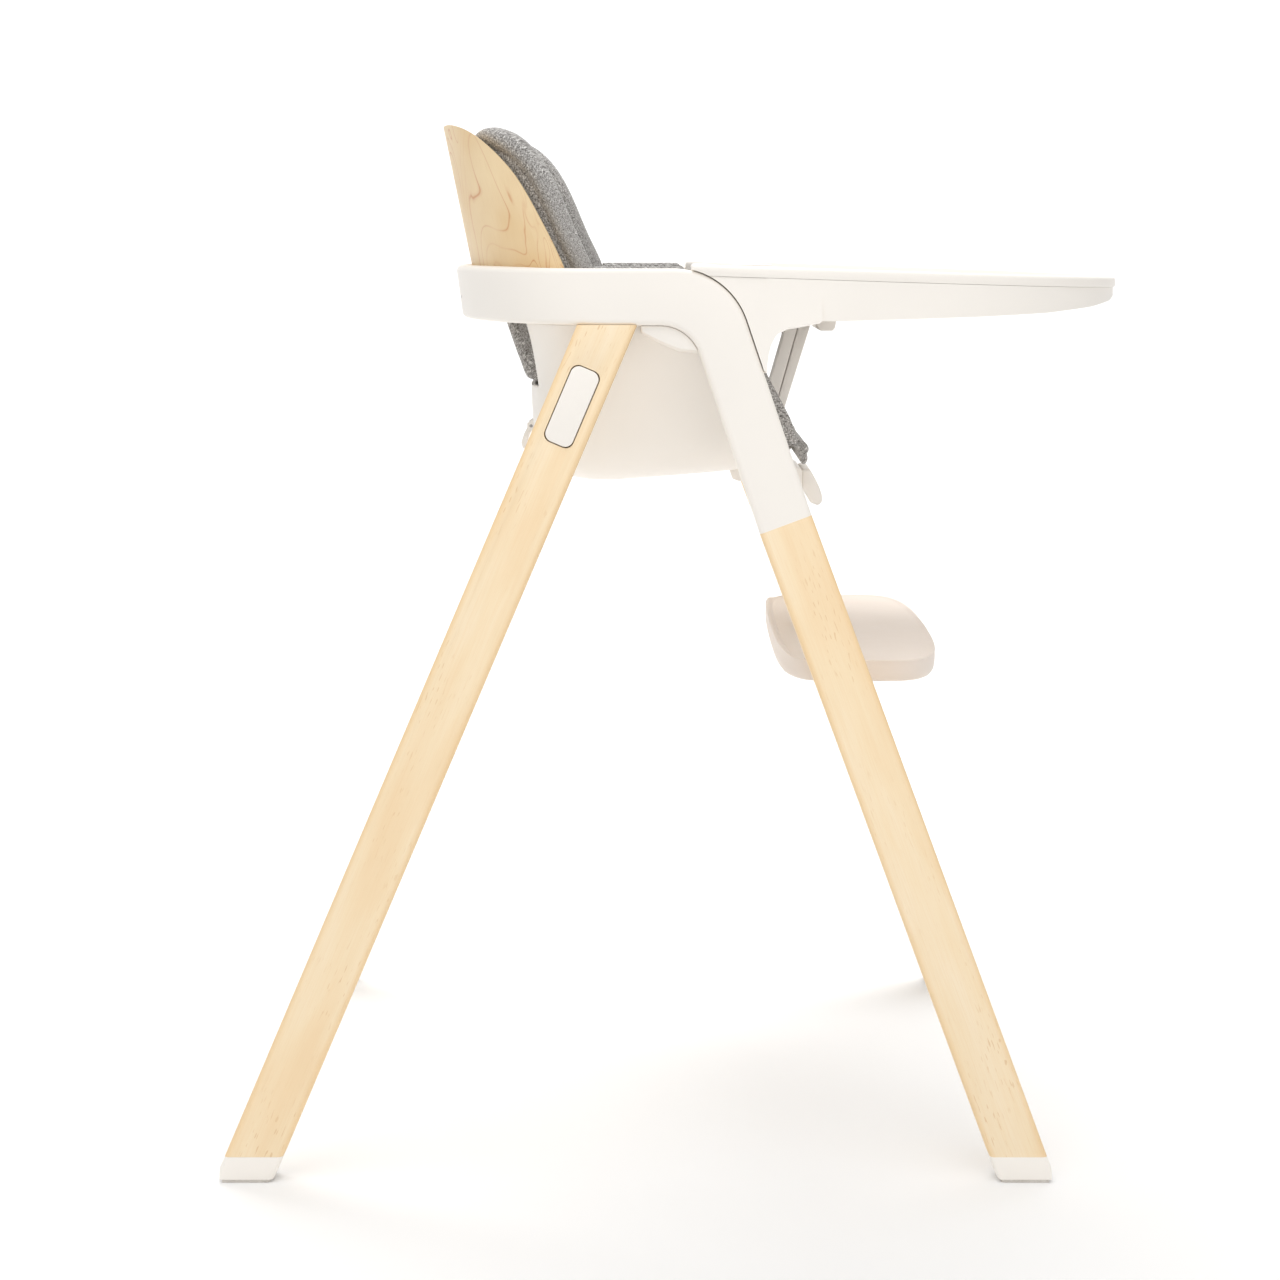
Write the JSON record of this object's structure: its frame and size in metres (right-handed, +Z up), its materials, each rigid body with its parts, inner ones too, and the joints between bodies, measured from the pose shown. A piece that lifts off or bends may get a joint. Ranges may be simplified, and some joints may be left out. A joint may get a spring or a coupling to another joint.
{
  "type": "baby high chair",
  "caption": "Baby high chair with a moulded hoop frame on splayed wooden legs, bucket seat with a bentwood back and fabric pads, sliding tray and adjustable footrest.",
  "frame": {"origin": "on the floor, under the middle of the chair", "axes": "+X forwards towards the tray's nose, +Y to the child's left, +Z up"},
  "size_m": [0.7745, 0.5954, 0.88],
  "materials": {
    "white_plastic": "satin moulded",
    "footrest_plastic": "satin moulded, warm beige white",
    "beech_wood": "clear matt lacquer on straight pale grain",
    "back_plywood": "clear satin lacquer on figured maple veneer",
    "grey_fabric": "melange weave",
    "webbing": "woven webbing",
    "harness_plastic": "satin",
    "harness_button": "satin",
    "sole_rubber": "matt",
    "steel": "plated"
  },
  "bodies": {
    "root": {"ring_frame": "white_plastic", "rail_guide_left": "white_plastic", "rail_guide_right": "white_plastic", "rear_leg_left": "beech_wood", "rear_leg_right": "beech_wood", "front_leg_left": "beech_wood", "front_leg_right": "beech_wood", "rear_spigot_left": "steel", "rear_spigot_right": "steel", "front_spigot_left": "steel", "front_spigot_right": "steel", "spigot_screws": "steel", "rear_foot_left": "white_plastic", "rear_foot_right": "white_plastic", "front_foot_left": "white_plastic", "front_foot_right": "white_plastic", "rear_sole_left": "sole_rubber", "rear_sole_right": "sole_rubber", "front_sole_left": "sole_rubber", "front_sole_right": "sole_rubber", "leg_button_spring_left": "steel", "leg_button_spring_right": "steel", "seat_shell": "white_plastic", "shell_screws": "steel", "back_panel": "back_plywood", "panel_screws": "steel", "back_pad": "grey_fabric", "seat_pad": "grey_fabric", "shoulder_strap_left": "webbing", "shoulder_strap_right": "webbing", "lap_strap_left": "webbing", "lap_strap_right": "webbing", "crotch_strap": "webbing", "harness_buckle": "harness_plastic", "strap_lock_base": "white_plastic", "strap_lock_pin": "steel", "footrest_housing": "white_plastic", "housing_cover": "white_plastic", "housing_screws": "steel", "footrest_stem": "white_plastic"},
    "leg_button_left": {"leg_button_left": "white_plastic"},
    "leg_button_right": {"leg_button_right": "white_plastic"},
    "buckle_button": {"buckle_button": "harness_button"},
    "strap_lock_lever": {"strap_lock_lever": "white_plastic"},
    "tray": {"tray_base": "white_plastic", "crotch_post": "white_plastic", "post_screws": "steel", "tray_lever_spring": "steel"},
    "tray_insert": {"tray_insert": "white_plastic"},
    "tray_lever": {"tray_lever": "white_plastic"},
    "tray_latch_left": {"tray_latch_left": "steel"},
    "tray_latch_right": {"tray_latch_right": "steel"},
    "footrest": {"footrest_plate": "footrest_plastic", "footrest_button_spring": "steel"},
    "footrest_button": {"footrest_button": "white_plastic"}
  },
  "joints": [
    {"name": "tray_slide", "type": "slide", "parent": "root", "child": "tray", "axis": [1, 0, 0], "range_m": [0, 0.06]},
    {"name": "tray_insert_lift", "type": "slide", "parent": "tray", "child": "tray_insert", "axis": [0.0323, 0, 0.9995], "range_m": [0, 0.06]},
    {"name": "tray_lever_pull", "type": "slide", "parent": "tray", "child": "tray_lever", "axis": [1, 0, 0], "range_m": [0, 0.008], "stiffness_N_per_m": 600, "springref_m": -0.004, "deforming": ["tray_lever_spring"]},
    {"name": "tray_latch_left_slide", "type": "slide", "parent": "tray", "child": "tray_latch_left", "axis": [0, -1, 0], "range_m": [0, 0.0025]},
    {"name": "tray_latch_right_slide", "type": "slide", "parent": "tray", "child": "tray_latch_right", "axis": [0, 1, 0], "range_m": [0, 0.0025]},
    {"name": "leg_button_left_press", "type": "slide", "parent": "root", "child": "leg_button_left", "axis": [0, -0.9962, -0.0872], "range_m": [0, 0.004], "stiffness_N_per_m": 1500, "springref_m": -0.002, "deforming": ["leg_button_spring_left"]},
    {"name": "leg_button_right_press", "type": "slide", "parent": "root", "child": "leg_button_right", "axis": [0, 0.9962, -0.0872], "range_m": [0, 0.004], "stiffness_N_per_m": 1500, "springref_m": -0.002, "deforming": ["leg_button_spring_right"]},
    {"name": "footrest_slide", "type": "slide", "parent": "root", "child": "footrest", "axis": [-0.196, 0, 0.9806], "range_m": [0, 0.07]},
    {"name": "footrest_button_press", "type": "slide", "parent": "footrest", "child": "footrest_button", "axis": [0, 0, 1], "range_m": [0, 0.003], "stiffness_N_per_m": 1000, "springref_m": -0.002, "deforming": ["footrest_button_spring"]},
    {"name": "strap_lock_hinge", "type": "hinge", "parent": "root", "child": "strap_lock_lever", "pos_m": [-0.139, 0, 0.612], "axis": [0, 1, 0], "range_deg": [0, 35], "stiffness_Nm_per_rad": 0.06, "springref_deg": -17.19},
    {"name": "buckle_button_press", "type": "slide", "parent": "root", "child": "buckle_button", "axis": [0.0326, 0, -0.9995], "range_m": [0, 0.0018], "stiffness_N_per_m": 800, "springref_m": -0.002}
  ],
  "couplings": [
    {"joint": "tray_latch_left_slide", "follows": "tray_lever_pull", "ratio": 0.3125},
    {"joint": "tray_latch_right_slide", "follows": "tray_lever_pull", "ratio": 0.3125}
  ]
}
